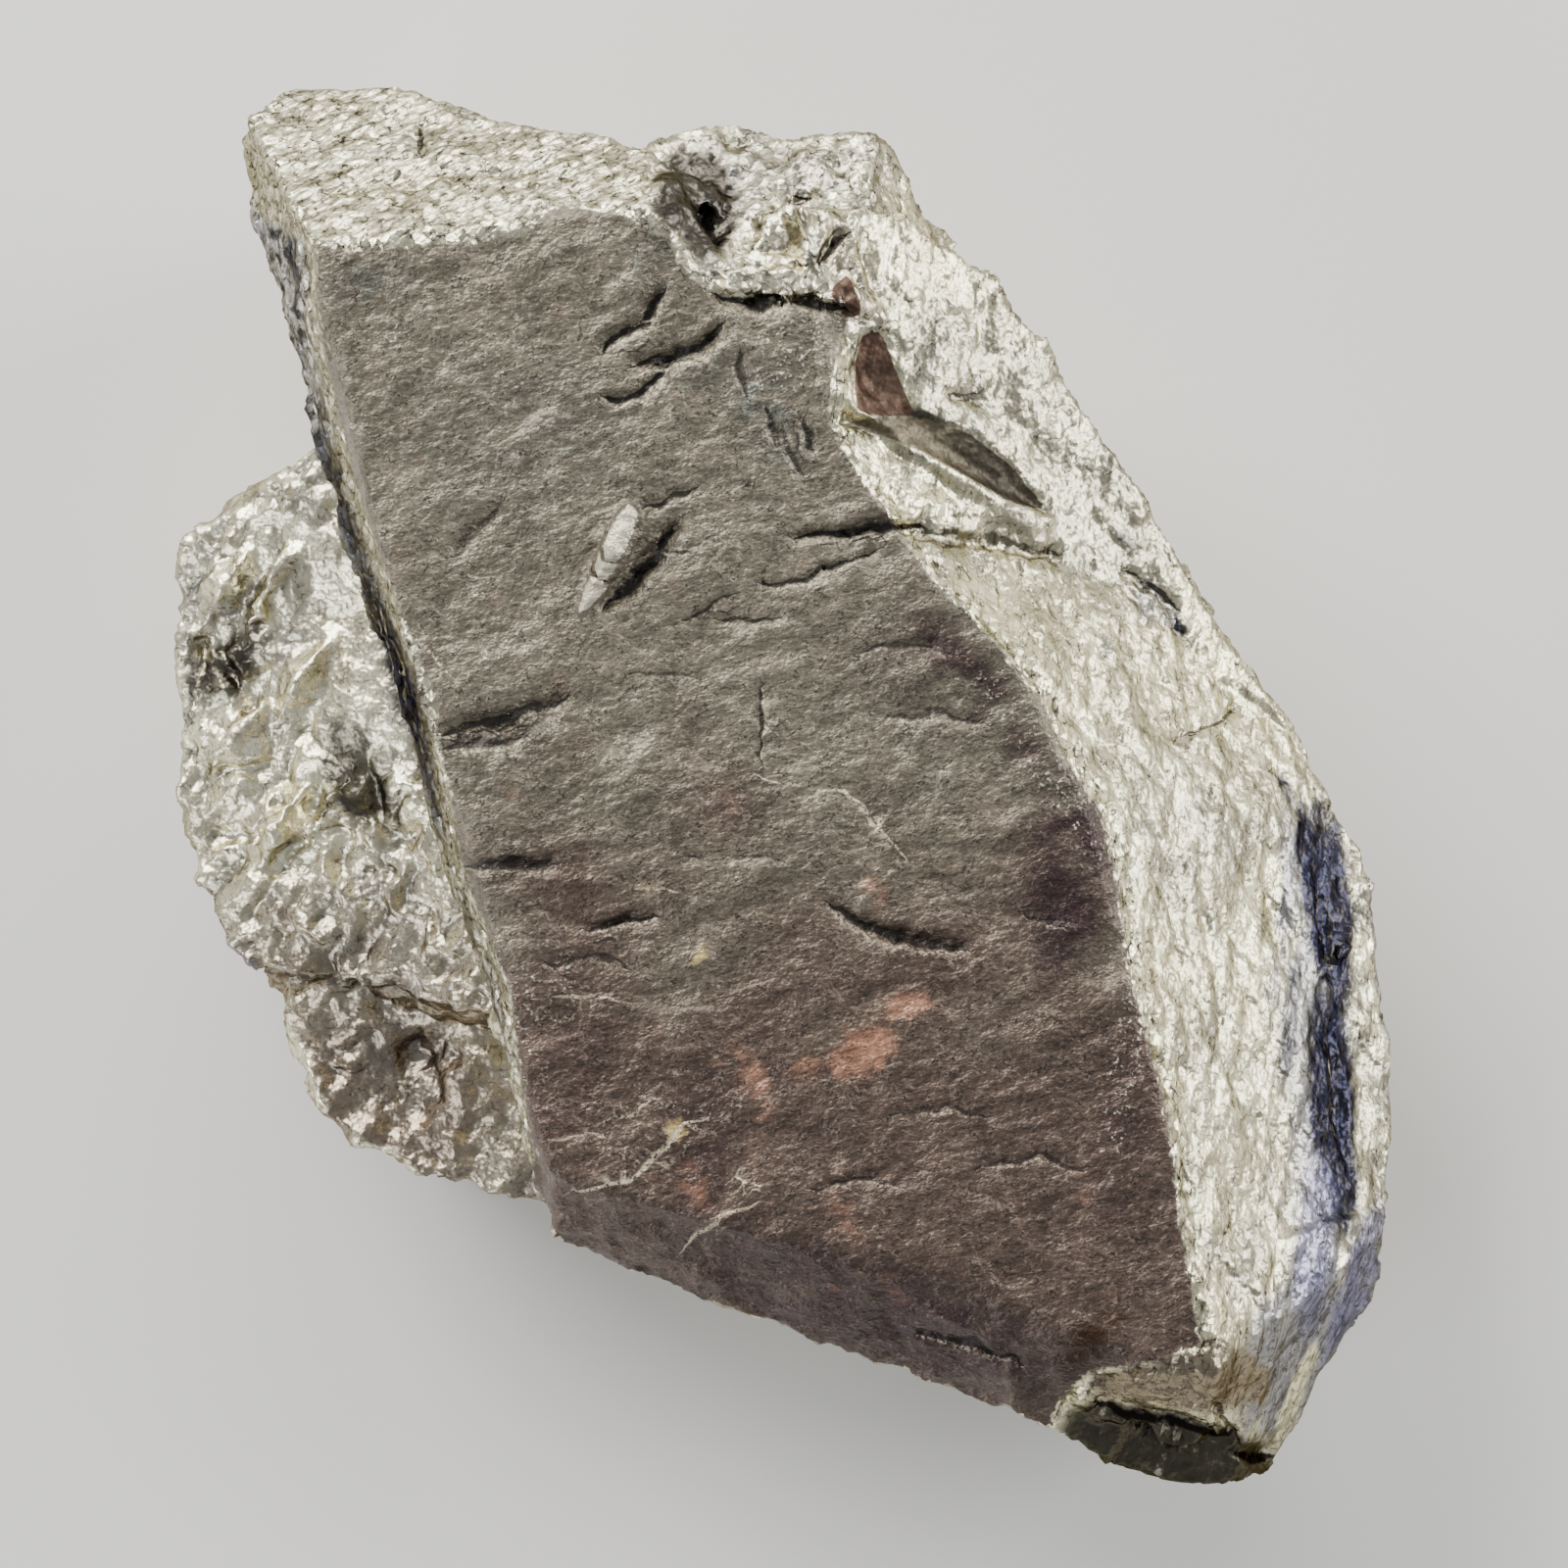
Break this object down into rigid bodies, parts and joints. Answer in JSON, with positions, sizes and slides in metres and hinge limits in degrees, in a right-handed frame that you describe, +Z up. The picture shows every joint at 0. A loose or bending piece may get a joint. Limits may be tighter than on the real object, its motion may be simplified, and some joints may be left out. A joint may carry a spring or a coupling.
{
  "type": "pyrite cluster",
  "caption": "Pyrite mineral specimen: a slab-like main crystal with a dark flat face, intergrown blocks and a rough lump beside it, lying on a flat broken back",
  "frame": {"origin": "centre of the bounding box at the level of the flat base that the specimen lies on", "axes": "+Z up, away from the surface it lies on; +Y along the long side of the specimen; +X across it"},
  "size_m": [0.0524, 0.0588, 0.0288],
  "materials": {
    "pyrite": "satin"
  },
  "bodies": {
    "root": {"pyrite_cluster": "pyrite"}
  },
  "joints": []
}
